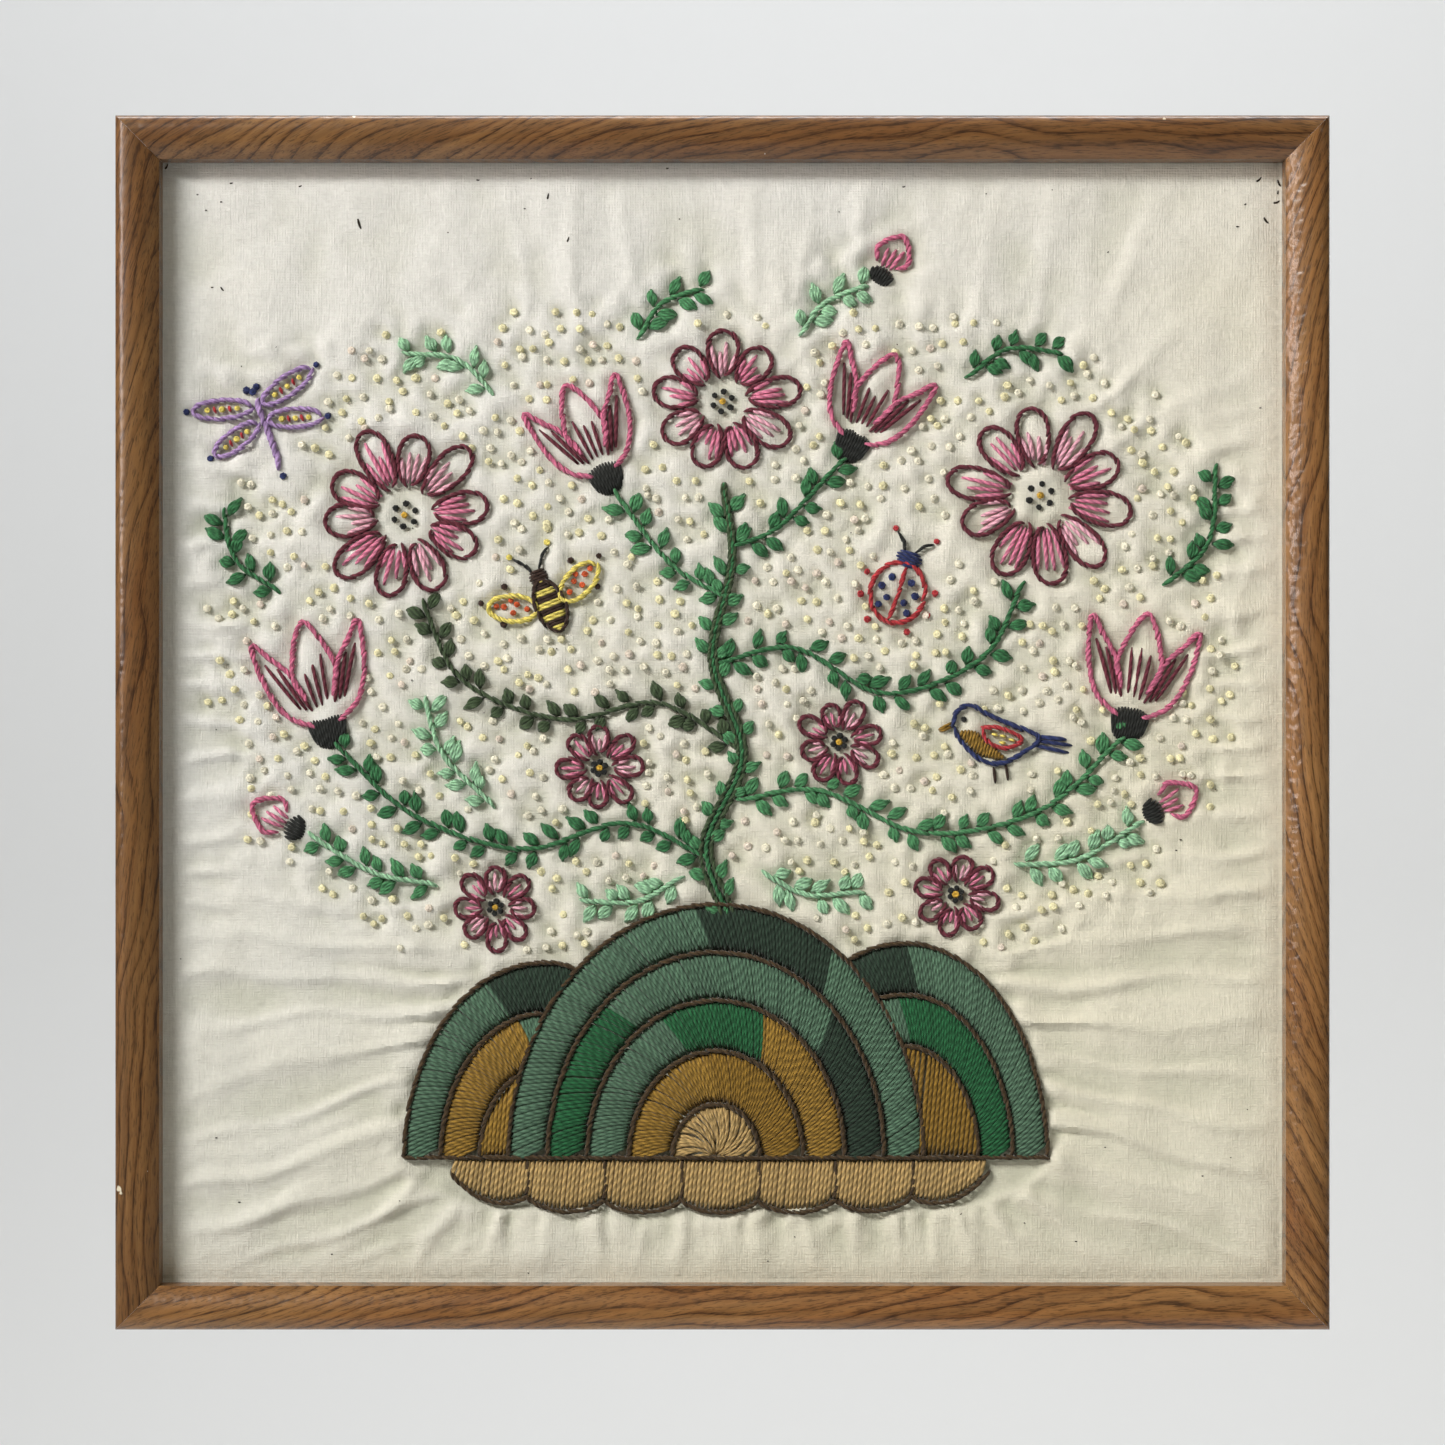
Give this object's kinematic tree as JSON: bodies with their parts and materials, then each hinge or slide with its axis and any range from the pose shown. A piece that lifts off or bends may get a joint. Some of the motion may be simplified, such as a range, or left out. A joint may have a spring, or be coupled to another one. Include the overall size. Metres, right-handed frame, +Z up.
{
  "type": "crewel embroidery panel in an oak frame",
  "caption": "Square crewel embroidery on puckered cream cotton, stretched over a board in a mitred, round-faced oak picture frame.",
  "frame": {"origin": "middle of the flat back face of the top rail, where a wall fixing holds the frame", "axes": "picture faces -Y, +X to its right, +Z up, +Y out of the back towards the wall"},
  "size_m": [0.3716, 0.018, 0.3715],
  "materials": {
    "oiled_oak": "satin varnish",
    "cream_cotton": "matt plain weave",
    "crewel_wool": "matt wool yarn",
    "brown_hardboard": "matt board"
  },
  "bodies": {
    "root": {"rail_top": "oiled_oak", "rail_right": "oiled_oak", "rail_bottom": "oiled_oak", "rail_left": "oiled_oak", "embroidered_cloth": "cream_cotton", "backing_board": "brown_hardboard"}
  },
  "joints": []
}
